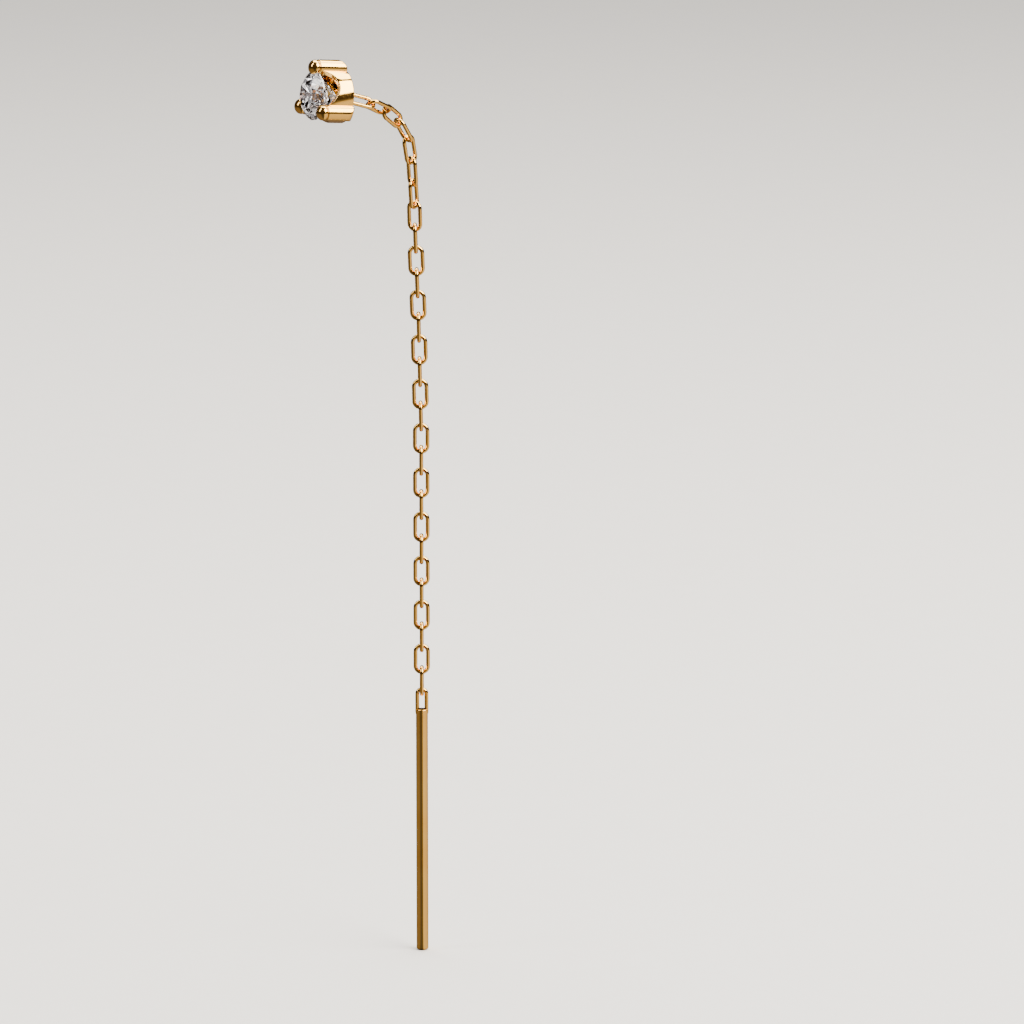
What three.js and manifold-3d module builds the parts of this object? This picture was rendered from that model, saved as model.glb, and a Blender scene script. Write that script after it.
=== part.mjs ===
// A threader earring: a round stone in a three-prong cup, a fine cable chain soldered to the cup's back,
// and a plain round bar at the chain's end that is threaded through the ear.
// Millimetres, +Z up. The origin is the centre of the cup's flat back, where it meets the ear. The stone faces
// -Y, and the chain leaves the back towards +Y and hangs down.
import * as THREE from "three";
import { mergeVertices } from "three/addons/utils/BufferGeometryUtils.js";
import { ConvexGeometry } from "three/addons/geometries/ConvexGeometry.js";
import Module from "manifold-3d";

const wasm = await Module();
wasm.setup();

// Stone, a round brilliant cut
const STONE_DIAMETER = 3.2;
const TABLE_DIAMETER = 1.82;
const CROWN_HEIGHT = 0.5;
const GIRDLE_THICKNESS = 0.1;
const PAVILION_DEPTH = 1.6;
const STAR_SHARE = 0.55; // how far the star facets reach from the table's edge to the girdle
const LOWER_HALF_SHARE = 0.77; // how far the lower girdle facets reach from the girdle to the point
const FACETS_AROUND = 8;

// Setting, a round cup with three prongs
const BACK_THICKNESS = 0.3;
const CUP_DIAMETER = 3.5;
const CUP_WALL = 0.4;
const BACK_ROUNDING = 0.08;
const PRONG_COUNT = 3;
const PRONG_DIAMETER = 1.04;
const PRONG_GRIP = 0.3; // how far each prong reaches over the stone's edge
const PRONG_END_ROUNDING = 0.55; // of the prongs' back ends, on the side away from the cup's axis
const BEAD_DIAMETER = 1;
const BEAD_HEIGHT = 0.42; // from the bead's widest part to its tip
const BEAD_AHEAD = 0.05; // from the girdle's middle forward to the bead's widest part
const GROOVE_WIDTH = 0.05; // the crease between a prong's shaft and its bead
const GROOVE_DEPTH = 0.05;
const SCALLOP_FLOOR = 1; // the wall left at the bottom of each scallop
const SCALLOP_DIAMETER = 2.6;
const POINT_CLEARANCE = 0.12; // from the cup's floor to the stone's point
const SEAT_CLEARANCE = 0.03;
const SETTING_TILT = 5; // degrees that the stone faces upwards

// Chain of oval cable links, the first and last of them soldered to the cup and to the bar
const LINK_COUNT = 28;
const LINK_LENGTH = 2.08;
const LINK_WIDTH = 1.1;
const LINK_WIRE = 0.27;
const LINK_PLAY = 0.05; // between the wires of two links where they hang in each other
const CUP_EYE_LENGTH = 2.68; // the link on the cup is longer than the loose ones
const CUP_SOLDER_DEPTH = 0.2; // how deep it is sunk in the cup's back
const CUP_EYE_DROOP = 17;
const CUP_EYE_ROLL = -38;
const BAR_EYE_WIDTH = 0.88; // the link on the bar is squeezed to about the bar's width
const BAR_SOLDER_DEPTH = 0.6; // how deep it is sunk in the bar's top
const HANG_HEADING = -19; // degrees from straight back towards +X of the plane in which the loose links hang

// How the chain hangs, from the cup to the bar. droop is a link's slope below the horizontal and turn is its
// roll from the link before it, both in degrees, and links is how many in a row hang so. The last row takes
// all the links that are left.
const HANG = [
  { links: 1, droop: 24, turn: 69 },
  { links: 1, droop: 35, turn: 66 },
  { links: 1, droop: 55, turn: 75 },
  { links: 1, droop: 78, turn: 99 },
  { links: 1, droop: 85, turn: 75 },
  { links: 1, droop: 85, turn: 120 },
  { links: 1, droop: 88, turn: 87 },
  { links: 1, droop: 87, turn: 120 },
  { links: 3, droop: 87, turn: 90 },
  { links: 5, droop: 88.3, turn: 90 },
  { links: 12, droop: 90, turn: 90 },
];

// Bar
const BAR_DIAMETER = 0.8;
const BAR_LENGTH = 16.5;
const BAR_TOP_ROUNDING = 0.05;
const BAR_TIP_ROUNDING = 0.14;

// Facets of the round surfaces
const CUP_SIDES = 48;
const PRONG_SIDES = 24;
const BAR_SIDES = 32;
const LINK_BENDS = 12;
const WIRE_SIDES = 6;
const ROUNDING_STEPS = 3;
const BEAD_STEPS = 7;

// Materials
const GOLD = new THREE.MeshStandardMaterial({ color: 0xd9a356, roughness: 0.16, metalness: 1 });
const GEM = new THREE.MeshStandardMaterial({
  color: 0xf3f5fa, roughness: 0.02, metalness: 0, transparent: true, opacity: 0.5,
});

// Worked out from the sizes above
const stoneRadius = STONE_DIAMETER / 2;
const girdleHeight = BACK_THICKNESS + POINT_CLEARANCE + PAVILION_DEPTH + GIRDLE_THICKNESS / 2;
const prongRadius = PRONG_DIAMETER / 2;
const prongCircle = stoneRadius - PRONG_GRIP + prongRadius;
const beadRadius = BEAD_DIAMETER / 2;
const beadHeight = girdleHeight + BEAD_AHEAD;
const jointInset = LINK_WIRE + LINK_PLAY / 2; // from a link's end to the middle between two hanging wires
const linkPitch = LINK_LENGTH - 2 * jointInset;
const hangOfLinks = HANG.flatMap((row) => Array(row.links).fill(row));
const radians = THREE.MathUtils.degToRad;

// A closed three.js geometry as a solid, and back.
function solid(geometry) {
  const bare = geometry.clone();
  bare.deleteAttribute("normal");
  bare.deleteAttribute("uv");
  const merged = mergeVertices(bare, 1e-5);
  return new wasm.Manifold(new wasm.Mesh({
    numProp: 3,
    vertProperties: merged.getAttribute("position").array,
    triVerts: new Uint32Array(merged.index.array),
  }));
}

function geometryOf(manifold) {
  const { vertProperties, triVerts } = manifold.getMesh();
  const geometry = new THREE.BufferGeometry();
  geometry.setAttribute("position", new THREE.BufferAttribute(vertProperties, 3));
  geometry.setIndex(new THREE.BufferAttribute(triVerts, 1));
  const faceted = geometry.toNonIndexed();
  faceted.computeVertexNormals();
  return faceted;
}

// A body turned about the cup's axis. Its outline runs from the back to the front, and its height is
// measured forward from the cup's back.
function turned(outline, divisions, sides) {
  return new THREE.LatheGeometry(outline.getPoints(divisions), sides).rotateX(Math.PI);
}

// One point of the stone, by radius and height over the girdle's middle, and by angle in facet steps.
function stonePoint(radius, height, step) {
  const angle = (step * 2 * Math.PI) / FACETS_AROUND;
  return new THREE.Vector3(radius * Math.cos(angle), -height, radius * Math.sin(angle));
}

// A round brilliant: table, stars, kites and girdle facets over a pavilion of mains and lower halves. The
// star tips and lower tips lie on the planes of the kites and mains, so that those facets are flat.
function brilliantCut() {
  const halfGirdle = GIRDLE_THICKNESS / 2;
  const tableRadius = TABLE_DIAMETER / 2;
  const halfStep = Math.cos(Math.PI / FACETS_AROUND);
  const tableEdge = tableRadius * halfStep;
  const starRadius = tableEdge + STAR_SHARE * (stoneRadius - tableEdge);
  const kiteSlope = CROWN_HEIGHT / (stoneRadius - tableRadius);
  const starHeight = kiteSlope * (stoneRadius - starRadius * halfStep);
  const lowerRadius = (1 - LOWER_HALF_SHARE) * stoneRadius;
  const lowerDepth = PAVILION_DEPTH * (1 - (lowerRadius * halfStep) / stoneRadius);
  const points = [stonePoint(0, -halfGirdle - PAVILION_DEPTH, 0)];
  for (let step = 0; step < FACETS_AROUND; step++) {
    points.push(
      stonePoint(tableRadius, halfGirdle + CROWN_HEIGHT, step),
      stonePoint(starRadius, halfGirdle + starHeight, step + 0.5),
      stonePoint(lowerRadius, -halfGirdle - lowerDepth, step + 0.5),
    );
    for (const side of [-halfGirdle, halfGirdle]) {
      points.push(stonePoint(stoneRadius, side, step), stonePoint(stoneRadius, side, step + 0.5));
    }
  }
  return new ConvexGeometry(points);
}

// The cup: a flat back with a rounded edge and a wall, hollow from the floor up.
function cup() {
  const radius = CUP_DIAMETER / 2;
  const inner = radius - CUP_WALL;
  const rim = SCALLOP_FLOOR + SCALLOP_DIAMETER / 2;
  const outline = new THREE.Path();
  outline.moveTo(0, 0);
  outline.lineTo(radius - BACK_ROUNDING, 0);
  outline.absarc(radius - BACK_ROUNDING, BACK_ROUNDING, BACK_ROUNDING, -Math.PI / 2, 0, false);
  outline.lineTo(radius, rim);
  outline.lineTo(inner, rim);
  outline.lineTo(inner, BACK_THICKNESS);
  outline.lineTo(0, BACK_THICKNESS);
  return solid(turned(outline, ROUNDING_STEPS, CUP_SIDES));
}

// The scallop between two prongs, a round hole through the wall that is open to the front.
function scallop(angle) {
  const radius = SCALLOP_DIAMETER / 2;
  const reach = CUP_DIAMETER;
  const outline = new THREE.Shape();
  outline.absarc(0, 0, radius, Math.PI, 2 * Math.PI, false);
  outline.lineTo(radius, reach);
  outline.lineTo(-radius, reach);
  const shape = new THREE.ExtrudeGeometry(outline, {
    depth: reach, bevelEnabled: false, curveSegments: CUP_SIDES / 2,
  });
  // The outline's up becomes the cup's front, and its depth runs outwards at the angle given.
  const outwards = new THREE.Vector3(Math.cos(angle), 0, Math.sin(angle));
  const front = new THREE.Vector3(0, -1, 0);
  const across = new THREE.Vector3().crossVectors(front, outwards);
  const place = new THREE.Matrix4().makeBasis(across, front, outwards);
  place.setPosition(front.multiplyScalar(SCALLOP_FLOOR + radius));
  return solid(shape.applyMatrix4(place));
}

// One prong: a round shaft with a rounded back end, a crease, and a bead that closes over the stone.
function prong(angle) {
  const neck = beadRadius - GROOVE_DEPTH;
  const beadStart = Math.acos(neck / beadRadius);
  const beadFoot = beadHeight - BEAD_HEIGHT * Math.sin(beadStart);
  const outline = new THREE.Path();
  outline.moveTo(0, 0);
  outline.lineTo(prongRadius - BACK_ROUNDING, 0);
  outline.absarc(prongRadius - BACK_ROUNDING, BACK_ROUNDING, BACK_ROUNDING, -Math.PI / 2, 0, false);
  outline.lineTo(prongRadius, beadFoot - GROOVE_WIDTH);
  outline.lineTo(neck, beadFoot);
  outline.absellipse(0, beadHeight, beadRadius, BEAD_HEIGHT, -beadStart, Math.PI / 2, false);
  const shape = turned(outline, BEAD_STEPS, PRONG_SIDES);
  shape.translate(prongCircle * Math.cos(angle), 0, prongCircle * Math.sin(angle));
  return solid(shape);
}

// The room round the cup's axis that the prongs keep to. Its rounded back edge rounds their back ends.
function prongRoom() {
  const reach = 1.01 * (prongCircle + prongRadius);
  const outline = new THREE.Path();
  outline.moveTo(0, 0);
  outline.lineTo(reach - PRONG_END_ROUNDING, 0);
  outline.absarc(reach - PRONG_END_ROUNDING, PRONG_END_ROUNDING, PRONG_END_ROUNDING, -Math.PI / 2, 0, false);
  outline.lineTo(reach, beadHeight + BEAD_DIAMETER);
  outline.lineTo(0, beadHeight + BEAD_DIAMETER);
  return solid(turned(outline, BEAD_STEPS, CUP_SIDES));
}

// An oval link round its own centre, long in Y, wide in X. A ring is parted in the middle and its halves
// moved out, which leaves the straight sides between them.
function linkGeometry(length = LINK_LENGTH, width = LINK_WIDTH) {
  const ring = new THREE.TorusGeometry((width - LINK_WIRE) / 2, LINK_WIRE / 2, WIRE_SIDES, LINK_BENDS);
  ring.rotateZ(Math.PI / LINK_BENDS);
  const position = ring.getAttribute("position");
  const shift = (length - width) / 2;
  for (let i = 0; i < position.count; i++) {
    position.setY(i, position.getY(i) + Math.sign(position.getY(i)) * shift);
  }
  return ring;
}

// The horizontal direction across a plane that stands upright at a heading, which is an angle from +Y
// towards +X, and the direction in that plane that slopes down by a droop.
function level(heading) {
  return new THREE.Vector3(Math.cos(radians(heading)), -Math.sin(radians(heading)), 0);
}

function sloping(heading, droop) {
  const ahead = new THREE.Vector3(0, 0, 1).cross(level(heading));
  return ahead.multiplyScalar(Math.cos(radians(droop))).setZ(-Math.sin(radians(droop)));
}

// Where a link lies: along its slope, its width turned by its roll from level.
function linkFrame(heading, droop, roll, centre) {
  const along = sloping(heading, droop);
  const across = level(heading).applyAxisAngle(along, radians(90 - roll));
  const width = new THREE.Vector3().crossVectors(along, across);
  return new THREE.Matrix4().makeBasis(width, along, across).setPosition(centre);
}

// The chain's frames, from the eye soldered to the cup to the eye soldered to the bar.
function hangChain() {
  const start = sloping(0, CUP_EYE_DROOP);
  const cupEye = start.clone().multiplyScalar(CUP_EYE_LENGTH / 2 - CUP_SOLDER_DEPTH);
  const joint = cupEye.clone().addScaledVector(start, CUP_EYE_LENGTH / 2 - jointInset);
  const frames = [linkFrame(0, CUP_EYE_DROOP, CUP_EYE_ROLL, cupEye)];
  let roll = CUP_EYE_ROLL;
  for (let i = 0; i < LINK_COUNT; i++) {
    const { droop, turn } = hangOfLinks[Math.min(i, hangOfLinks.length - 1)];
    const along = sloping(HANG_HEADING, droop);
    roll += turn;
    frames.push(linkFrame(HANG_HEADING, droop, roll, joint.clone().addScaledVector(along, linkPitch / 2)));
    joint.addScaledVector(along, linkPitch);
  }
  const barEye = joint.clone().setZ(joint.z - linkPitch / 2);
  frames.push(linkFrame(HANG_HEADING, 90, roll + 90, barEye));
  return frames;
}

// The setting with its eye, as one casting: the cup without its scallops, the prongs, less the stone's seat.
function settingSolid(stone, eyeFrame) {
  let body = cup();
  const upright = Math.PI / 2;
  const step = (2 * Math.PI) / PRONG_COUNT;
  for (let i = 0; i < PRONG_COUNT; i++) {
    body = body.subtract(scallop(upright + (i + 0.5) * step));
  }
  const room = prongRoom();
  for (let i = 0; i < PRONG_COUNT; i++) {
    body = body.add(prong(upright + i * step).intersect(room));
  }
  const growth = 1 + SEAT_CLEARANCE / stoneRadius;
  const seat = stone.clone().scale(growth, growth, growth).translate(0, -girdleHeight, 0);
  const eye = linkGeometry(CUP_EYE_LENGTH).applyMatrix4(eyeFrame).rotateX(radians(SETTING_TILT));
  return body.subtract(solid(seat)).add(solid(eye));
}

// The bar with its eye: a round wire with a rounded tip, and an end link sunk in its top.
function barSolid(eyeFrame) {
  const radius = BAR_DIAMETER / 2;
  const outline = new THREE.Path();
  outline.moveTo(0, 0);
  outline.lineTo(radius - BAR_TIP_ROUNDING, 0);
  outline.absarc(radius - BAR_TIP_ROUNDING, BAR_TIP_ROUNDING, BAR_TIP_ROUNDING, -Math.PI / 2, 0, false);
  outline.lineTo(radius, BAR_LENGTH - BAR_TOP_ROUNDING);
  outline.absarc(radius - BAR_TOP_ROUNDING, BAR_LENGTH - BAR_TOP_ROUNDING, BAR_TOP_ROUNDING, 0, Math.PI / 2, false);
  outline.lineTo(0, BAR_LENGTH);
  const wire = new THREE.LatheGeometry(outline.getPoints(ROUNDING_STEPS), BAR_SIDES);
  wire.rotateX(Math.PI / 2);
  const eye = new THREE.Vector3().setFromMatrixPosition(eyeFrame);
  wire.translate(eye.x, eye.y, eye.z - LINK_LENGTH / 2 + BAR_SOLDER_DEPTH - BAR_LENGTH);
  return solid(wire).add(solid(linkGeometry(LINK_LENGTH, BAR_EYE_WIDTH).applyMatrix4(eyeFrame)));
}

function named(name, geometry, material) {
  const mesh = new THREE.Mesh(geometry, material);
  mesh.name = name;
  return mesh;
}

function buildEarring() {
  const earring = new THREE.Group();
  const frames = hangChain();
  const stoneShape = brilliantCut();

  const head = new THREE.Group();
  head.rotation.x = -radians(SETTING_TILT);
  head.add(named("setting", geometryOf(settingSolid(stoneShape, frames[0])), GOLD));
  const stone = named("stone", stoneShape, GEM);
  stone.position.y = -girdleHeight;
  head.add(stone);
  earring.add(head);

  const chain = new THREE.Group();
  frames.slice(1, -1).forEach((frame, i) => {
    const link = named(`link_${String(i + 1).padStart(2, "0")}`, linkGeometry(), GOLD);
    link.applyMatrix4(frame);
    chain.add(link);
  });
  earring.add(chain);

  earring.add(named("threader_bar", geometryOf(barSolid(frames.at(-1))), GOLD));
  return earring;
}

export default buildEarring();
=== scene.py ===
"""Dresses a packed threader earring: polished gold for its setting, chain and bar, a clear cut stone, and a
pale studio round them. Everything is in metres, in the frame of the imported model."""
import math

import bmesh
import bpy
import numpy as np
from mathutils import Matrix, Vector


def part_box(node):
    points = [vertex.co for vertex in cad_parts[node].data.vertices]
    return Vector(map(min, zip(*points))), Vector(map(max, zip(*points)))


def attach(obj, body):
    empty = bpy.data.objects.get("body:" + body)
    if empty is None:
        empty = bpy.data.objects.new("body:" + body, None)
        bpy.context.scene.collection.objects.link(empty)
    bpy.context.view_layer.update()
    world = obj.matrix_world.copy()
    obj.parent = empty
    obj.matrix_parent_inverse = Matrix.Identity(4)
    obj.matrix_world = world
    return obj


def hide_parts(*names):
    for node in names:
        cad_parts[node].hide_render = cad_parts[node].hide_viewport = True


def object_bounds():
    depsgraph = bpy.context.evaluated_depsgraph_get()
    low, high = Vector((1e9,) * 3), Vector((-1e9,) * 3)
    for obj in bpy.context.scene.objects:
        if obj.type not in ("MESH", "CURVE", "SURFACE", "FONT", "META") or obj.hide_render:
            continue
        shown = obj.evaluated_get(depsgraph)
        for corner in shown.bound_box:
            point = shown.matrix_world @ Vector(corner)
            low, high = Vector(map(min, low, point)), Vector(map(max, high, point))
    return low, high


bl_info = {
    "name": "Threader Earring",
    "version": (1, 0, 0),
    "blender": (4, 5, 0),
    "location": "3D View > Sidebar > Earring",
    "description": "Makes a threader earring's setting, stone, chain and bar over its packed model",
    "category": "Add Mesh",
}

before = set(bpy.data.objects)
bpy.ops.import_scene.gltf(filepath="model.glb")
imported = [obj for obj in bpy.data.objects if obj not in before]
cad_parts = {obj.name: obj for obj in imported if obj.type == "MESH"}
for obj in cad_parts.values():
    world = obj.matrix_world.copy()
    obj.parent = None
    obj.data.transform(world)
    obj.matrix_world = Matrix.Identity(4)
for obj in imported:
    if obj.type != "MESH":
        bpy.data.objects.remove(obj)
CAD_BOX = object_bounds()

MM = 0.001
STONE_NODE = "stone"
SETTING_NODE = "setting"
BAR_NODE = "threader_bar"
LINK_NODES = sorted(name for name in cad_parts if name.startswith("link_"))
HEAD_BODY = "chain"
BAR_BODY = "bar"

# Seen from the photograph's side, in the photograph's pixels
PHOTO_SIDE = 1024
FOCAL_PIXELS = 7000
PIXELS_PER_MM = 15.5
ORIGIN_PIXEL = (342.2, 96.1)
SENSOR_WIDTH = 36
CLIP_START = 0.01

# Faces that meet at more than this many degrees get a crease between them.
CREASE_ANGLE = 32
# Faces look in a direction when the cosine between it and their normal is above this.
SAME_DIRECTION = 0.9999
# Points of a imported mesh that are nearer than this, in metres, are one point.
WELD_DISTANCE = 1e-6
# Edges shorter than this, in metres, are left over from joining solids.
SLIVER_LENGTH = 2e-8
# The links' wire is uneven in the same way each time.
WIRE_SEED = 3.0


def length(name, description, millimetres):
    """A size that a user may change, in metres, with its default given in millimetres."""
    return bpy.props.FloatProperty(
        name=name, description=description, default=millimetres * MM, min=0, precision=6, unit="LENGTH",
    )


def angle(name, description, degrees):
    """An angle that a user may change, with its default given in degrees."""
    return bpy.props.FloatProperty(
        name=name, description=description, default=math.radians(degrees), subtype="ANGLE",
    )


def colour(name, description, default):
    """A colour that a user may change, as linear red, green and blue."""
    return bpy.props.FloatVectorProperty(
        name=name, description=description, default=default, min=0, max=1, size=3, subtype="COLOR",
    )


def share(name, description, default):
    """A share from 0 to 1 that a user may change."""
    return bpy.props.FloatProperty(name=name, description=description, default=default, min=0, max=1)


def count(name, description, default):
    """A whole number that a user may change."""
    return bpy.props.IntProperty(name=name, description=description, default=default, min=3)


class SettingSizes(bpy.types.PropertyGroup):
    """Sizes of the three-prong cup, about its own axis. Heights run forward from the cup's back."""

    cup_diameter: length("Cup Diameter", "Outside of the cup's wall", 3.5)
    cup_wall: length("Cup Wall", "Thickness of the cup's wall", 0.4)
    back_thickness: length("Back Thickness", "Thickness of the cup's flat back", 0.3)
    back_rounding: length("Back Rounding", "Radius of the edge round the back", 0.08)
    rim_rounding: length("Rim Rounding", "Radius that polishing leaves on the scallops' edges", 0.06)
    floor_rounding: length("Floor Rounding", "Radius where the wall meets the cup's floor", 0.15)
    scallop_floor: length("Scallop Floor", "Wall left at the bottom of each scallop", 1)
    scallop_diameter: length("Scallop Diameter", "Width of the round scallops between the prongs", 2.6)
    prong_count: count("Prongs", "Prongs round the cup", 3)
    prong_diameter: length("Prong Diameter", "Diameter of a prong's shaft", 1.04)
    prong_circle: length("Prong Circle", "From the cup's axis to a prong's", 1.82)
    prong_end_rounding: length("Prong End Rounding", "Of the prongs' back ends, away from the axis", 0.55)
    bead_diameter: length("Bead Diameter", "Widest part of a prong's bead", 1)
    bead_height: length("Bead Height", "From the bead's widest part to its tip", 0.42)
    bead_place: length("Bead Place", "From the cup's back to the bead's widest part", 2.12)
    groove_width: length("Groove Width", "Width of the crease between shaft and bead", 0.05)
    groove_depth: length("Groove Depth", "Depth of the crease between shaft and bead", 0.05)
    shaft_edge: length("Shaft Edge", "Radius of the shaft's edge at the crease", 0.015)
    seat_clearance: length("Seat Clearance", "Gap between the stone and its seat", 0.03)
    tilt: angle("Tilt", "How far the stone faces upwards", 5)
    sides: count("Sides", "Facets round the cup and the prongs", 192)


class ChainSizes(bpy.types.PropertyGroup):
    """Sizes of the oval cable links, and how the one on the cup stands."""

    link_length: length("Link Length", "Outside length of a link", 2.08)
    link_width: length("Link Width", "Outside width of a link", 1.1)
    wire: length("Wire", "Diameter of a link's wire", 0.27)
    unevenness: length("Unevenness", "How far the wire strays from round", 0.004)
    bend_steps: count("Bend Steps", "Segments in each quarter bend", 12)
    wire_sides: count("Wire Sides", "Facets round the wire", 20)
    cup_eye_length: length("Cup Eye Length", "Outside length of the link on the cup", 2.68)
    cup_eye_depth: length("Cup Eye Depth", "How deep that link is sunk in the cup's back", 0.2)
    cup_eye_droop: angle("Cup Eye Droop", "How far that link slopes down", 17)
    cup_eye_roll: angle("Cup Eye Roll", "How far that link is rolled from level", -38)
    bar_eye_width: length("Bar Eye Width", "Outside width of the squeezed link on the bar", 0.88)


class BarSizes(bpy.types.PropertyGroup):
    """Sizes of the threader bar."""

    diameter: length("Diameter", "Diameter of the bar", 0.8)
    top_rounding: length("Top Rounding", "Radius of the bar's top edge", 0.05)
    tip_rounding: length("Tip Rounding", "Radius of the bar's tip", 0.14)
    solder_depth: length("Solder Depth", "How deep the last link is sunk in the bar's top", 0.6)
    sides: count("Sides", "Facets round the bar", 128)


class Finishes(bpy.types.PropertyGroup):
    """Colours and polish of the metal and the stone."""

    gold: colour("Gold", "The metal where it is clean and bright", (1.0, 0.65, 0.18))
    deep_gold: colour("Deep Gold", "The metal where it is slightly toned", (0.94, 0.51, 0.10))
    polish: share("Polish", "Roughness of the best polished metal", 0.05)
    haze: share("Haze", "Roughness where handling has dulled it", 0.17)
    # Painted light: seen through the stone, the metal is painted this pale grey, this far, standing in for
    # the light that the facets scatter.
    painted_scatter_tone: colour("Gold through Stone", "The metal as it shows through the stone", (0.66, 0.62, 0.66))
    painted_scatter_share: share("Washed Out", "How much of its own colour the metal loses there", 0.8)
    stone: colour("Stone", "Tint of the clear stone", (0.93, 0.93, 1.0))
    floor: colour("Floor", "The pale floor", (0.74, 0.72, 0.69))


class StudioPlan(bpy.types.PropertyGroup):
    """Where the camera and the lights stand."""

    azimuth: angle("Azimuth", "Camera's azimuth round the earring, 0 in front of the stone", 62)
    elevation: angle("Elevation", "Camera's height over the horizon", 11.94)
    light_distance: length("Light Distance", "From the earring to the soft lights", 420)
    floor_size: length("Floor Size", "Side of the square floor", 6000)


def sheet_of(name):
    """The scene's values for one property group."""
    return getattr(bpy.context.scene, name)


# Shapes

def arc(centre, radii, start, end, steps):
    """Points (radius, height) on an elliptical arc, from one angle to the other in degrees, both included."""
    points = []
    for step in range(steps + 1):
        turn = math.radians(start + (end - start) * step / steps)
        points.append((centre[0] + radii[0] * math.cos(turn), centre[1] + radii[1] * math.sin(turn)))
    return points


def revolved(name, columns):
    """A closed mesh round the +Z axis. Each column is the outline (radius, height) at one of the angles,
    which are evenly spaced, and all of them start and end on the axis at the same two points."""
    made = bmesh.new()
    rings = len(columns[0]) - 2
    foot = made.verts.new((0, 0, columns[0][0][1]))
    head = made.verts.new((0, 0, columns[0][-1][1]))
    grid = []
    for step, column in enumerate(columns):
        turn = 2 * math.pi * step / len(columns)
        grid.append([
            made.verts.new((radius * math.cos(turn), radius * math.sin(turn), height))
            for radius, height in column[1:-1]
        ])
    for step, here in enumerate(grid):
        there = grid[(step + 1) % len(grid)]
        made.faces.new((foot, there[0], here[0]))
        made.faces.new((head, here[-1], there[-1]))
        for ring in range(rings - 1):
            made.faces.new((here[ring], there[ring], there[ring + 1], here[ring + 1]))
    bmesh.ops.recalc_face_normals(made, faces=made.faces)
    mesh = bpy.data.meshes.new(name)
    made.to_mesh(mesh)
    made.free()
    return mesh


def turned(name, outline, sides):
    """A closed body of revolution round the +Z axis."""
    return revolved(name, [outline] * sides)


def cup_mesh(sizes):
    """The cup with its scalloped rim, its axis along +Z and its back at 0."""
    outer = sizes.cup_diameter / 2
    inner = outer - sizes.cup_wall
    scallop = sizes.scallop_diameter / 2
    edge = sizes.rim_rounding
    rim_steps = 12

    def scallop_height(aside):
        """Height of the scallop's round edge, at a distance aside from its middle."""
        reach = min(abs(aside), scallop)
        return sizes.scallop_floor + scallop - math.sqrt(scallop ** 2 - reach ** 2)

    def rounding(distance):
        """How much the rim is lowered, at a distance from its nearer edge."""
        gap = max(edge - distance, 0)
        return edge - math.sqrt(edge ** 2 - gap ** 2)

    back = sizes.back_rounding
    floor = sizes.back_thickness
    fillet = sizes.floor_rounding
    foot = [(0, 0), *arc((outer - back, back), (back, back), -90, 0, steps=10)]
    bottom = [*arc((inner - fillet, floor + fillet), (fillet, fillet), 0, -90, steps=8), (0, floor)]
    # Steps across the wall lie closer together at both edges, where the rim is rounded.
    crossing = [(1 - math.cos(math.pi * step / rim_steps)) / 2 for step in range(rim_steps + 1)]
    columns = []
    for step in range(sizes.sides):
        turn = 2 * math.pi * step / sizes.sides
        # The prongs stand at the whole steps of the pattern and the scallops halfway between them.
        pattern = (turn * sizes.prong_count / (2 * math.pi)) % 1 - 0.5
        aside = math.sin(pattern * 2 * math.pi / sizes.prong_count)
        rim = []
        for across in crossing:
            radius = outer - across * sizes.cup_wall
            nearer = min(across, 1 - across) * sizes.cup_wall
            rim.append((radius, scallop_height(radius * aside) - rounding(nearer)))
        columns.append([*foot, *rim, *bottom])
    return revolved("cup", columns)


def prong_mesh(sizes):
    """One prong round the +Z axis: a shaft, a crease with soft edges and a domed bead."""
    radius = sizes.prong_diameter / 2
    bead = sizes.bead_diameter / 2
    neck = bead - sizes.groove_depth
    start = math.degrees(math.acos(neck / bead))
    bead_foot = sizes.bead_place - sizes.bead_height * math.sin(math.radians(start))
    back = sizes.back_rounding
    edge = sizes.shaft_edge
    shaft_top = bead_foot - sizes.groove_width
    # The crease narrows to this share of its width at its bottom.
    narrow = 0.15
    # Rings across the flat end and along the shaft follow the end's rounding and keep its shading even.
    rings = 12
    outline = [
        *[(step * (radius - back) / rings, 0) for step in range(rings)],
        *arc((radius - back, back), (back, back), -90, 0, steps=8),
        *[(radius, back + step * (shaft_top - back) / rings) for step in range(1, rings)],
        *arc((radius - edge, shaft_top), (edge, edge), 0, 60, steps=4),
        (neck, bead_foot - sizes.groove_width * narrow),
        *arc((0, sizes.bead_place), (bead, sizes.bead_height), -start, 84, steps=20),
        (0, sizes.bead_place + sizes.bead_height),
    ]
    return turned("prong", outline, sizes.sides // 2)


def round_prong_ends(mesh, sizes):
    """Rounds the prongs' back ends on the side away from the cup's axis: the shafts' outer sides start
    further forward, and everything up to the beads is squeezed to fit."""
    # The rounding reaches a little beyond the prongs, because it is upright at its very end.
    beyond = 1.01
    reach = beyond * (sizes.prong_circle + sizes.prong_diameter / 2)
    edge = sizes.prong_end_rounding
    bead = sizes.bead_place - sizes.bead_height
    for vertex in mesh.vertices:
        over = max(vertex.co.xy.length - (reach - edge), 0)
        start = edge - math.sqrt(edge ** 2 - over ** 2)
        if vertex.co.z < bead:
            vertex.co.z = start + vertex.co.z * (bead - start) / bead


def bar_mesh(sizes, foot, top):
    """The bar round the +Z axis from its tip to its top."""
    radius = sizes.diameter / 2
    tip = sizes.tip_rounding
    crown = sizes.top_rounding
    outline = [
        (0, foot),
        *arc((radius - tip, foot + tip), (tip, tip), -90, 0, steps=12),
        *arc((radius - crown, top - crown), (crown, crown), 0, 90, steps=8),
        (0, top),
    ]
    return turned("bar", outline, sizes.sides)


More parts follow.
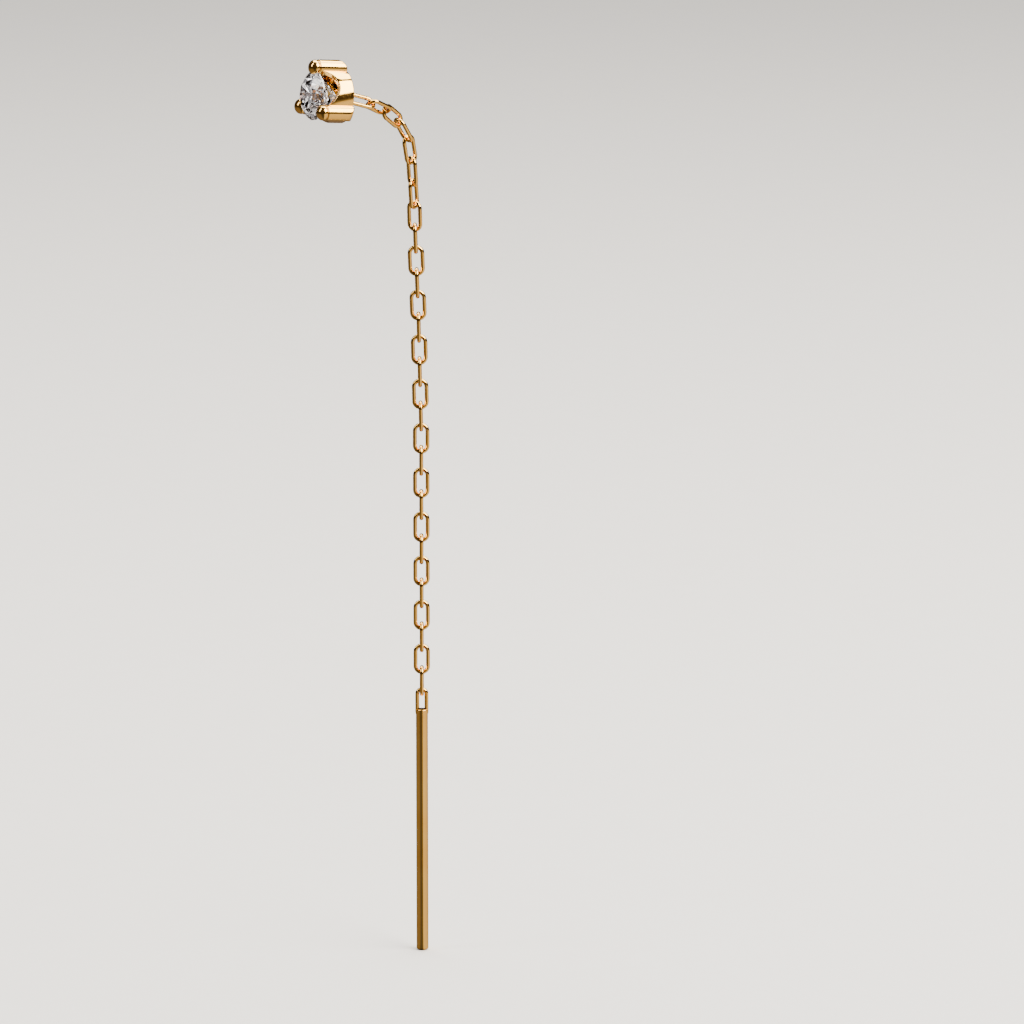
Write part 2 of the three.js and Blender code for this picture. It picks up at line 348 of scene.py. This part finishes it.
def merged_copy(node):
    """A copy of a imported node's mesh, with its loose triangles joined."""
    made = bmesh.new()
    made.from_mesh(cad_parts[node].data)
    bmesh.ops.remove_doubles(made, verts=made.verts, dist=WELD_DISTANCE)
    mesh = bpy.data.meshes.new(node + "_merged")
    made.to_mesh(mesh)
    made.free()
    return mesh


def link_place(node):
    """Where a packed link lies: its width along X, its length along Y and its middle, as one matrix."""
    mesh = merged_copy(node)
    points = np.array([vertex.co for vertex in mesh.vertices])
    bpy.data.meshes.remove(mesh)
    middle = points.mean(axis=0)
    _, axes = np.linalg.eigh(np.cov((points - middle).T))
    along = Vector(axes[:, 2])
    width = Vector(axes[:, 1])
    return placed(width, along, Vector(middle))


def placed(width, along, middle):
    """The matrix that puts a link's X along its width and its Y along its length."""
    matrix = Matrix((width, along, width.cross(along))).transposed().to_4x4()
    matrix.translation = middle
    return matrix


def cup_eye_place(sizes):
    """Where the link that is soldered to the cup lies: it leaves the origin straight back, sloping down."""
    level = Vector((1, 0, 0))
    along = Vector((0, math.cos(sizes.cup_eye_droop), -math.sin(sizes.cup_eye_droop)))
    width = level * math.cos(sizes.cup_eye_roll) + level.cross(along) * math.sin(sizes.cup_eye_roll)
    return placed(width, along, along * (sizes.cup_eye_length / 2 - sizes.cup_eye_depth))


def bar_eye_place():
    """Where the link that is soldered to the bar lies: straight under the last loose link, a quarter
    turned, and as far below it as that one is below the link before it."""
    before, last = (link_place(node) for node in LINK_NODES[-2:])
    down = Vector((0, 0, -1))
    drop = (last.translation - before.translation).length
    return placed(last.col[2].to_3d(), down, last.translation + down * drop)


# Links, made by Geometry Nodes

def add_node(tree, kind, inputs=(), **settings):
    """A new node in the tree. Inputs are (socket, value or output to link) pairs."""
    node = tree.nodes.new(kind)
    for key, value in settings.items():
        setattr(node, key, value)
    for socket, value in inputs:
        if isinstance(value, bpy.types.NodeSocket):
            tree.links.new(value, node.inputs[socket])
        else:
            node.inputs[socket].default_value = value
    return node


def arithmetic(tree, operation, first, second):
    """The output of a Math node."""
    return add_node(tree, "ShaderNodeMath", [(0, first), (1, second)], operation=operation).outputs[0]


def new_tree(name, kind, inputs, outputs):
    """A node group with these named sockets, and its input and output nodes."""
    tree = bpy.data.node_groups.new(name, kind)
    for way, sockets in (("INPUT", inputs), ("OUTPUT", outputs)):
        for socket, socket_type in sockets:
            tree.interface.new_socket(socket, in_out=way, socket_type=socket_type)
    return tree, tree.nodes.new("NodeGroupInput").outputs, tree.nodes.new("NodeGroupOutput").inputs


def link_tree():
    """Geometry Nodes that put an oval link of round wire on each point, turned by the point's own turn."""
    tree, given, result = new_tree("Oval cable links", "GeometryNodeTree", [
        ("Places", "NodeSocketGeometry"),
        ("Link Length", "NodeSocketFloat"),
        ("Link Width", "NodeSocketFloat"),
        ("Wire", "NodeSocketFloat"),
        ("Unevenness", "NodeSocketFloat"),
        ("Bend Steps", "NodeSocketInt"),
        ("Wire Sides", "NodeSocketInt"),
        ("Seed", "NodeSocketFloat"),
        ("Metal", "NodeSocketMaterial"),
    ], [("Links", "NodeSocketGeometry")])
    wide = arithmetic(tree, "SUBTRACT", given["Link Width"], given["Wire"])
    long = arithmetic(tree, "SUBTRACT", given["Link Length"], given["Wire"])
    oval = add_node(tree, "GeometryNodeCurvePrimitiveQuadrilateral", [("Width", wide), ("Height", long)])
    # Two corners round off to nearly a half round, and stop just short of meeting.
    bent = add_node(tree, "GeometryNodeFilletCurve", [
        ("Curve", oval.outputs[0]),
        ("Radius", arithmetic(tree, "MULTIPLY", wide, 0.4999)),
        ("Count", given["Bend Steps"]),
    ], mode="POLY")
    section = add_node(tree, "GeometryNodeCurvePrimitiveCircle", [
        ("Resolution", given["Wire Sides"]),
        ("Radius", arithmetic(tree, "MULTIPLY", given["Wire"], 0.5)),
    ])
    wire = add_node(tree, "GeometryNodeCurveToMesh", [
        ("Curve", bent.outputs[0]), ("Profile Curve", section.outputs[0]),
    ])
    turn = add_node(tree, "GeometryNodeInputNamedAttribute", [("Name", "turn")], data_type="QUATERNION")
    copies = add_node(tree, "GeometryNodeInstanceOnPoints", [
        ("Points", given["Places"]), ("Instance", wire.outputs[0]), ("Rotation", turn.outputs[0]),
    ])
    real = add_node(tree, "GeometryNodeRealizeInstances", [("Geometry", copies.outputs[0])])
    # The wire strays a little from round, by slow noise along its normal.
    waves = 1 / (0.5 * MM)
    noise = add_node(tree, "ShaderNodeTexNoise", [
        ("Scale", waves), ("Detail", 1), ("W", given["Seed"]),
    ], noise_dimensions="4D")
    swing = arithmetic(tree, "SUBTRACT", noise.outputs[0], 0.5)
    stray = add_node(tree, "ShaderNodeVectorMath", [
        (0, add_node(tree, "GeometryNodeInputNormal").outputs[0]),
        ("Scale", arithmetic(tree, "MULTIPLY", swing, given["Unevenness"])),
    ], operation="SCALE")
    moved = add_node(tree, "GeometryNodeSetPosition", [
        ("Geometry", real.outputs[0]), ("Offset", stray.outputs[0]),
    ])
    smooth = add_node(tree, "GeometryNodeSetShadeSmooth", [("Geometry", moved.outputs[0])])
    dressed = add_node(tree, "GeometryNodeSetMaterial", [
        ("Geometry", smooth.outputs[0]), ("Material", given["Metal"]),
    ])
    tree.links.new(dressed.outputs[0], result[0])
    return tree


def ring_tree():
    """Geometry Nodes that repeat a shape at even places on a circle round the Z axis, every copy unturned."""
    tree, given, result = new_tree("Prongs round the cup", "GeometryNodeTree", [
        ("Prong", "NodeSocketGeometry"),
        ("Prongs", "NodeSocketInt"),
        ("Circle", "NodeSocketFloat"),
        ("Metal", "NodeSocketMaterial"),
    ], [("Prongs", "NodeSocketGeometry")])
    circle = add_node(tree, "GeometryNodeMeshCircle", [
        ("Vertices", given["Prongs"]), ("Radius", given["Circle"]),
    ])
    copies = add_node(tree, "GeometryNodeInstanceOnPoints", [
        ("Points", circle.outputs[0]), ("Instance", given["Prong"]),
    ])
    real = add_node(tree, "GeometryNodeRealizeInstances", [("Geometry", copies.outputs[0])])
    dressed = add_node(tree, "GeometryNodeSetMaterial", [
        ("Geometry", real.outputs[0]), ("Material", given["Metal"]),
    ])
    tree.links.new(dressed.outputs[0], result[0])
    return tree


def run_tree(obj, tree, values):
    """Replaces the object's mesh by what the tree makes of it."""
    modifier = obj.modifiers.new(tree.name, "NODES")
    modifier.node_group = tree
    for item in tree.interface.items_tree:
        if item.in_out == "INPUT" and item.name in values:
            modifier[item.identifier] = values[item.name]
    settle(obj)


def settle(obj):
    """Replaces the object's mesh by its evaluated one and removes its modifiers."""
    bpy.context.view_layer.update()
    evaluated = obj.evaluated_get(bpy.context.evaluated_depsgraph_get())
    mesh = bpy.data.meshes.new_from_object(evaluated)
    obj.modifiers.clear()
    obj.data = mesh


def new_object(name, mesh):
    """An object at the origin that shows the mesh."""
    obj = bpy.data.objects.new(name, mesh)
    bpy.context.scene.collection.objects.link(obj)
    return obj


def links_at(name, places, long, wide):
    """An object with one smooth link at each place, all of one length and width."""
    sizes = sheet_of("earring_chain")
    mesh = bpy.data.meshes.new(name)
    mesh.from_pydata([place.translation for place in places], [], [])
    turns = mesh.attributes.new("turn", "QUATERNION", "POINT")
    for item, place in zip(turns.data, places):
        item.value = place.to_quaternion()
    obj = new_object(name, mesh)
    run_tree(obj, link_tree(), {
        "Link Length": long,
        "Link Width": wide,
        "Wire": sizes.wire,
        "Unevenness": sizes.unevenness,
        "Bend Steps": sizes.bend_steps,
        "Wire Sides": sizes.wire_sides,
        "Seed": WIRE_SEED,
        "Metal": material("Drawn gold", drawn_gold),
    })
    made = bmesh.new()
    made.from_mesh(obj.data)
    bmesh.ops.recalc_face_normals(made, faces=made.faces)
    made.to_mesh(obj.data)
    made.free()
    return obj


def cut_or_join(target, other, operation):
    """Joins the other solid to the target or cuts it out, and removes it."""
    modifier = target.modifiers.new(operation.title(), "BOOLEAN")
    modifier.operation = operation
    modifier.solver = "MANIFOLD"
    modifier.object = other
    settle(target)
    bpy.data.objects.remove(other)


def without_slivers(mesh):
    """Collapses the tiny edges that joining solids leaves where their faces lie in one plane."""
    made = bmesh.new()
    made.from_mesh(mesh)
    bmesh.ops.dissolve_degenerate(made, dist=SLIVER_LENGTH, edges=made.edges)
    bmesh.ops.triangulate(made, faces=made.faces)
    made.to_mesh(mesh)
    made.free()


def soft_shade(mesh):
    """Smooth shading with creases where faces meet at a steep angle."""
    mesh.shade_smooth()
    mesh.set_sharp_from_angle(angle=math.radians(CREASE_ANGLE))


def keep_flat(mesh, direction):
    """Creases round the faces that look in a direction, so that the shading of a flat side stays flat."""
    around = {}
    for face in mesh.polygons:
        for edge in face.edge_keys:
            around.setdefault(edge, set()).add(face.normal.dot(direction) > SAME_DIRECTION)
    for edge in mesh.edges:
        if len(around[edge.key]) == 2:
            edge.use_edge_sharp = True


def wear(obj, finish):
    """Gives the object one material and no other."""
    obj.data.materials.clear()
    obj.data.materials.append(finish)


# Finishes

def buffing_group():
    """Marks that buffing and handling leave on metal: a height for bump, a haze and a tone from 0 to 1."""
    name = "Buffing marks"
    if name in bpy.data.node_groups:
        return bpy.data.node_groups[name]
    tree, given, result = new_tree(name, "ShaderNodeTree", [
        ("Vector", "NodeSocketVector"),
        ("Line Stretch", "NodeSocketVector"),
        ("Marks per Metre", "NodeSocketFloat"),
    ], [
        ("Height", "NodeSocketFloat"), ("Haze", "NodeSocketFloat"), ("Tone", "NodeSocketFloat"),
    ])
    stretched = add_node(tree, "ShaderNodeVectorMath", [
        (0, given["Vector"]), (1, given["Line Stretch"]),
    ], operation="MULTIPLY").outputs[0]
    # Scales as shares of the buffing lines' own, and the lines' height as a share of the ripple's
    ripple_scale = 0.06
    smear_scale = 0.12
    line_height = 0.12
    lines = add_node(tree, "ShaderNodeTexNoise", [
        ("Vector", stretched), ("Scale", given["Marks per Metre"]), ("Detail", 4), ("Roughness", 0.6),
    ]).outputs[0]
    ripple = add_node(tree, "ShaderNodeTexNoise", [
        ("Vector", given["Vector"]),
        ("Scale", arithmetic(tree, "MULTIPLY", given["Marks per Metre"], ripple_scale)),
        ("Detail", 1.5),
    ]).outputs[0]
    smear = add_node(tree, "ShaderNodeTexNoise", [
        ("Vector", given["Vector"]),
        ("Scale", arithmetic(tree, "MULTIPLY", given["Marks per Metre"], smear_scale)),
        ("Detail", 5), ("Distortion", 0.8),
    ]).outputs[0]
    # Only the stronger smears dull the metal.
    haze = add_node(tree, "ShaderNodeMapRange", [(0, smear), (1, 0.42), (2, 0.68)]).outputs[0]
    height = arithmetic(tree, "ADD", arithmetic(tree, "MULTIPLY", lines, line_height), ripple)
    tree.links.new(height, result["Height"])
    tree.links.new(haze, result["Haze"])
    tree.links.new(ripple, result["Tone"])
    return tree


def gold_material(name, line_stretch, marks_per_metre, relief):
    """Polished gold: its tone and haze drift over the surface, and buffing leaves fine lines on it."""
    looks = sheet_of("earring_finishes")
    made = bpy.data.materials.new(name)
    made.use_nodes = True
    tree = made.node_tree
    shader = tree.nodes["Principled BSDF"]
    place = add_node(tree, "ShaderNodeTexCoord").outputs["Object"]
    marks = add_node(tree, "ShaderNodeGroup", node_tree=buffing_group())
    tree.links.new(place, marks.inputs["Vector"])
    marks.inputs["Line Stretch"].default_value = line_stretch
    marks.inputs["Marks per Metre"].default_value = marks_per_metre
    tone = add_node(tree, "ShaderNodeMix", [(0, marks.outputs["Tone"])], data_type="RGBA")
    tone.inputs["A"].default_value = (*looks.gold, 1)
    tone.inputs["B"].default_value = (*looks.deep_gold, 1)
    rough = add_node(tree, "ShaderNodeMapRange", [
        (0, marks.outputs["Haze"]), (3, looks.polish), (4, looks.haze),
    ])
    bump = add_node(tree, "ShaderNodeBump", [
        ("Height", marks.outputs["Height"]), ("Strength", 1), ("Distance", relief),
    ])
    # Painted light: seen through the stone, the metal's colour is painted most of the way to a pale grey,
    # which stands in for the light that the facets scatter.
    ray = add_node(tree, "ShaderNodeLightPath")
    through = arithmetic(tree, "MULTIPLY", ray.outputs["Is Transmission Ray"], looks.painted_scatter_share)
    shown = add_node(tree, "ShaderNodeMix", [(0, through)], data_type="RGBA")
    shown.inputs["B"].default_value = (*looks.painted_scatter_tone, 1)
    tree.links.new(tone.outputs["Result"], shown.inputs["A"])
    tree.links.new(shown.outputs["Result"], shader.inputs["Base Color"])
    tree.links.new(rough.outputs[0], shader.inputs["Roughness"])
    tree.links.new(bump.outputs[0], shader.inputs["Normal"])
    shader.inputs["Metallic"].default_value = 1
    return made


def cast_gold(name):
    """The setting's gold, buffed all over."""
    return gold_material(name, line_stretch=(1, 1, 1), marks_per_metre=9000, relief=0.004 * MM)


def drawn_gold(name):
    """The links' gold wire."""
    return gold_material(name, line_stretch=(1, 1, 0.3), marks_per_metre=11000, relief=0.002 * MM)


def bar_gold(name):
    """The bar's gold, with lines along the bar from drawing the wire."""
    return gold_material(name, line_stretch=(1, 1, 0.04), marks_per_metre=9000, relief=0.002 * MM)


def clear_stone(name):
    """A clear stone of high refraction, with a faint drift in its tint and a film that dulls it in places."""
    looks = sheet_of("earring_finishes")
    made = bpy.data.materials.new(name)
    made.use_nodes = True
    tree = made.node_tree
    shader = tree.nodes["Principled BSDF"]
    place = add_node(tree, "ShaderNodeTexCoord").outputs["Object"]
    cloud = add_node(tree, "ShaderNodeTexNoise", [("Vector", place), ("Scale", 900), ("Detail", 3)])
    tint = add_node(tree, "ShaderNodeMix", [(0, cloud.outputs[0])], data_type="RGBA")
    clouded = (0.93, 0.92, 0.97)
    dullest = 0.03
    tint.inputs["A"].default_value = (*looks.stone, 1)
    tint.inputs["B"].default_value = (*clouded, 1)
    film = add_node(tree, "ShaderNodeMapRange", [(0, cloud.outputs[0]), (1, 0.5), (2, 0.8), (4, dullest)])
    tree.links.new(tint.outputs["Result"], shader.inputs["Base Color"])
    tree.links.new(film.outputs[0], shader.inputs["Roughness"])
    shader.inputs["Transmission Weight"].default_value = 1
    shader.inputs["IOR"].default_value = 2.3
    return made


def mirrored_ray(tree):
    """1 for a ray that polished metal has mirrored, 0 for one from the camera or through the stone."""
    ray = add_node(tree, "ShaderNodeLightPath")
    outside = arithmetic(tree, "SUBTRACT", 1, ray.outputs["Is Transmission Ray"])
    return arithmetic(tree, "MULTIPLY", ray.outputs["Is Glossy Ray"], outside)


def studio_floor(name):
    """A pale floor. Polished metal mirrors a darker and warmer one, painted for mirrored rays only: a painted
    pool of light to the right of the bar, brown to its left and painted shade towards the camera."""
    looks = sheet_of("earring_finishes")
    plan = sheet_of("earring_studio")
    made = bpy.data.materials.new(name)
    made.use_nodes = True
    tree = made.node_tree
    shader = tree.nodes["Principled BSDF"]
    place = add_node(tree, "ShaderNodeTexCoord").outputs["Object"]
    foot = bar_foot()
    round_bar = add_node(tree, "ShaderNodeMapping", [
        ("Vector", place),
        ("Location", (foot.x, foot.y, 0)),
        ("Rotation", (0, 0, plan.azimuth - math.pi / 2)),
    ], vector_type="TEXTURE")
    turn = add_node(tree, "ShaderNodeTexGradient", [
        ("Vector", round_bar.outputs[0]),
    ], gradient_type="RADIAL")
    painted_reflection_ramp = add_node(tree, "ShaderNodeValToRGB", [(0, turn.outputs["Fac"])])
    # Shares of a turn round the bar, from behind it past its left, and the tone that metal sees there:
    # painted reflections of brown, of dark shade towards the camera and of a lit sector
    painted_reflection_stops = [
        (0.00, (0.040, 0.030, 0.022)),
        (0.36, (0.055, 0.040, 0.028)),
        (0.42, (0.008, 0.006, 0.005)),
        (0.52, (0.008, 0.006, 0.005)),
        (0.56, (0.26, 0.22, 0.17)),
        (0.85, (0.18, 0.15, 0.11)),
        (1.00, (0.040, 0.030, 0.022)),
    ]
    ramp = painted_reflection_ramp.color_ramp.elements
    for position, _ in painted_reflection_stops[2:]:
        ramp.new(position)
    for element, (position, tone) in zip(ramp, painted_reflection_stops):
        element.position = position
        element.color = (*tone, 1)
    grain = add_node(tree, "ShaderNodeTexNoise", [("Vector", place), ("Scale", 400), ("Detail", 4)])
    pale = add_node(tree, "ShaderNodeMix", [(0, grain.outputs[0])], data_type="RGBA")
    duller = 0.97
    pale.inputs["A"].default_value = (*looks.floor, 1)
    pale.inputs["B"].default_value = (*[duller * part for part in looks.floor], 1)
    # Painted light: mirrored rays see the ramp's painted dark, brown and lit sectors, while the camera sees
    # the even pale floor.
    shown = add_node(tree, "ShaderNodeMix", [(0, mirrored_ray(tree))], data_type="RGBA")
    tree.links.new(pale.outputs["Result"], shown.inputs["A"])
    tree.links.new(painted_reflection_ramp.outputs[0], shown.inputs["B"])
    tree.links.new(shown.outputs["Result"], shader.inputs["Base Color"])
    shader.inputs["Roughness"].default_value = 0.8
    return made


def material(name, maker):
    """The material of that name, made the first time that it is asked for."""
    return bpy.data.materials.get(name) or maker(name)


# Stage

def bar_foot():
    """The point on the floor under the bar."""
    last = link_place(LINK_NODES[-1]).translation
    return Vector((last.x, last.y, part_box(BAR_NODE)[0].z))


def studio_direction(from_camera, elevation):
    """A direction from the earring, by its angle to the right of the camera and its height, in degrees."""
    turn = sheet_of("earring_studio").azimuth - math.pi / 2 + math.radians(from_camera)
    rise = math.radians(elevation)
    return Vector((math.cos(turn) * math.cos(rise), math.sin(turn) * math.cos(rise), math.sin(rise)))


def soft_light(name, from_camera, elevation, size, watts, tone):
    """A square soft light that faces the earring."""
    plan = sheet_of("earring_studio")
    lamp = bpy.data.lights.new(name, "AREA")
    lamp.shape = "RECTANGLE"
    lamp.size, lamp.size_y = size
    lamp.energy = watts
    lamp.color = tone
    light = bpy.data.objects.new(name, lamp)
    direction = studio_direction(from_camera, elevation)
    middle = (CAD_BOX[0] + CAD_BOX[1]) / 2
    light.location = middle + direction * plan.light_distance
    light.rotation_euler = (-direction).to_track_quat("-Z", "Y").to_euler()
    bpy.context.scene.collection.objects.link(light)


def photo_camera():
    """The camera that saw the photograph, at the place where the origin falls on its own pixel."""
    plan = sheet_of("earring_studio")
    data = bpy.data.cameras.new("photo_camera")
    data.sensor_width = SENSOR_WIDTH
    data.lens = SENSOR_WIDTH * FOCAL_PIXELS / PHOTO_SIDE
    data.clip_start = CLIP_START
    camera = bpy.data.objects.new("photo_camera", data)
    camera.rotation_euler = (math.pi / 2 - plan.elevation, 0, plan.azimuth)
    turn = camera.rotation_euler.to_matrix()
    depth = FOCAL_PIXELS / PIXELS_PER_MM * MM
    aside = (ORIGIN_PIXEL[0] - PHOTO_SIDE / 2) / FOCAL_PIXELS * depth
    above = (PHOTO_SIDE / 2 - ORIGIN_PIXEL[1]) / FOCAL_PIXELS * depth
    camera.location = turn @ Vector((-aside, -above, depth))
    bpy.context.scene.collection.objects.link(camera)
    bpy.context.scene.camera = camera


def studio_world():
    """Even pale light from all round. Polished metal sees it darker, so that the soft lights stand out."""
    world = bpy.data.worlds.new("studio")
    bpy.context.scene.world = world
    world.use_nodes = True
    tree = world.node_tree
    background = tree.nodes["Background"]
    seen_by_camera = (0.62, 0.61, 0.60)
    seen_by_metal = (0.06, 0.042, 0.03)
    tone = add_node(tree, "ShaderNodeMix", [(0, mirrored_ray(tree))], data_type="RGBA")
    tone.inputs["A"].default_value = (*seen_by_camera, 1)
    tone.inputs["B"].default_value = (*seen_by_metal, 1)
    tree.links.new(tone.outputs["Result"], background.inputs["Color"])


# Operators, in the order in which main calls them

class EARRING_OT_setting(bpy.types.Operator):
    """Makes the cup with its prongs and the link soldered to its back, as one piece of cast gold"""

    bl_idname = "earring.setting"
    bl_label = "Setting"

    def execute(self, context):
        sizes = context.scene.earring_setting
        # The head's frame: +Z of the turned shapes becomes the cup's front, -Y, tilted up, and the first
        # prong stands on top.
        upright = Matrix.Rotation(math.pi / 2 - sizes.tilt, 4, "X") @ Matrix.Rotation(math.pi / 2, 4, "Z")
        prongs = new_object("prongs", prong_mesh(sizes))
        run_tree(prongs, ring_tree(), {
            "Prongs": sizes.prong_count,
            "Circle": sizes.prong_circle,
            "Metal": material("Cast gold", cast_gold),
        })
        round_prong_ends(prongs.data, sizes)
        body = new_object("setting_body", cup_mesh(sizes))
        body.data.transform(upright)
        prongs.data.transform(upright)
        cut_or_join(body, prongs, "UNION")
        chain = context.scene.earring_chain
        eye = links_at("cup_eye", [cup_eye_place(chain)], chain.cup_eye_length, chain.link_width)
        cut_or_join(body, eye, "UNION")
        seat = merged_copy(STONE_NODE)
        low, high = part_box(STONE_NODE)
        middle = Matrix.Translation((low + high) / 2)
        growth = 1 + 2 * sizes.seat_clearance / (high.x - low.x)
        seat.transform(middle @ Matrix.Scale(growth, 4) @ middle.inverted())
        cut_or_join(body, new_object("seat", seat), "DIFFERENCE")
        without_slivers(body.data)
        soft_shade(body.data)
        keep_flat(body.data, upright.to_3x3() @ Vector((0, 0, -1)))
        wear(body, material("Cast gold", cast_gold))
        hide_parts(SETTING_NODE)
        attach(body, HEAD_BODY)
        return {"FINISHED"}


class EARRING_OT_stone(bpy.types.Operator):
    """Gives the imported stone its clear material"""

    bl_idname = "earring.stone"
    bl_label = "Stone"

    def execute(self, context):
        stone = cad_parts[STONE_NODE]
        for place in stone.material_slots:
            place.material = material("Clear stone", clear_stone)
        return {"FINISHED"}


class EARRING_OT_chain(bpy.types.Operator):
    """Makes the loose links of the cable chain"""

    bl_idname = "earring.chain"
    bl_label = "Chain"

    def execute(self, context):
        sizes = context.scene.earring_chain
        places = [link_place(node) for node in LINK_NODES]
        chain = links_at("chain_links", places, sizes.link_length, sizes.link_width)
        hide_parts(*LINK_NODES)
        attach(chain, HEAD_BODY)
        return {"FINISHED"}


class EARRING_OT_bar(bpy.types.Operator):
    """Makes the threader bar with the chain's last link soldered into its top"""

    bl_idname = "earring.bar"
    bl_label = "Bar"

    def execute(self, context):
        sizes = context.scene.earring_bar
        chain = context.scene.earring_chain
        place = bar_eye_place()
        top = place.translation.z - chain.link_length / 2 + sizes.solder_depth
        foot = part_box(BAR_NODE)[0].z
        bar = new_object("bar_body", bar_mesh(sizes, foot, top))
        bar.data.transform(Matrix.Translation((place.translation.x, place.translation.y, 0)))
        eye = links_at("bar_eye", [place], chain.link_length, chain.bar_eye_width)
        cut_or_join(bar, eye, "UNION")
        soft_shade(bar.data)
        for end in (-1, 1):
            keep_flat(bar.data, Vector((0, 0, end)))
        wear(bar, material("Bar gold", bar_gold))
        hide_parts(BAR_NODE)
        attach(bar, BAR_BODY)
        return {"FINISHED"}


class EARRING_OT_studio(bpy.types.Operator):
    """Makes the pale floor, the soft lights and the camera"""

    bl_idname = "earring.studio"
    bl_label = "Studio"

    def execute(self, context):
        plan = context.scene.earring_studio
        half = plan.floor_size / 2
        level = CAD_BOX[0].z
        mesh = bpy.data.meshes.new("floor")
        corners = [(-half, -half, level), (half, -half, level), (half, half, level), (-half, half, level)]
        mesh.from_pydata(corners, [], [(0, 1, 2, 3)])
        floor = new_object("floor", mesh)
        wear(floor, material("Pale floor", studio_floor))
        studio_world()
        warm = (1.0, 0.96, 0.90)
        soft_light("key_light", from_camera=62, elevation=42, size=(0.34, 0.30), watts=5.0, tone=warm)
        soft_light("top_light", from_camera=170, elevation=68, size=(0.42, 0.26), watts=4.0, tone=warm)
        soft_light("left_light", from_camera=-75, elevation=38, size=(0.10, 0.30), watts=0.7, tone=warm)
        photo_camera()
        return {"FINISHED"}


class EARRING_PT_panel(bpy.types.Panel):
    """Lists the earring's sizes, finishes and steps"""

    bl_idname = "EARRING_PT_panel"
    bl_label = "Threader Earring"
    bl_space_type = "VIEW_3D"
    bl_region_type = "UI"
    bl_category = "Earring"

    def draw(self, context):
        for operator in OPERATORS:
            self.layout.operator(operator.bl_idname)
        for name, group in GROUPS.items():
            box = self.layout.box()
            box.label(text=group.__name__)
            for prop in group.__annotations__:
                box.prop(getattr(context.scene, name), prop)


GROUPS = {
    "earring_setting": SettingSizes,
    "earring_chain": ChainSizes,
    "earring_bar": BarSizes,
    "earring_finishes": Finishes,
    "earring_studio": StudioPlan,
}
OPERATORS = (
    EARRING_OT_setting, EARRING_OT_stone, EARRING_OT_chain, EARRING_OT_bar, EARRING_OT_studio,
)


def register():
    """Adds the sizes, the operators and the panel."""
    for kind in (*GROUPS.values(), *OPERATORS, EARRING_PT_panel):
        bpy.utils.register_class(kind)
    for name, group in GROUPS.items():
        setattr(bpy.types.Scene, name, bpy.props.PointerProperty(type=group))


def unregister():
    """Takes them away again."""
    for name in GROUPS:
        delattr(bpy.types.Scene, name)
    for kind in reversed((*GROUPS.values(), *OPERATORS, EARRING_PT_panel)):
        bpy.utils.unregister_class(kind)


def main():
    """Makes the whole earring and its studio."""
    register()
    bpy.ops.earring.setting()
    bpy.ops.earring.stone()
    bpy.ops.earring.chain()
    bpy.ops.earring.bar()
    bpy.ops.earring.studio()


if __name__ == "__main__":
    main()
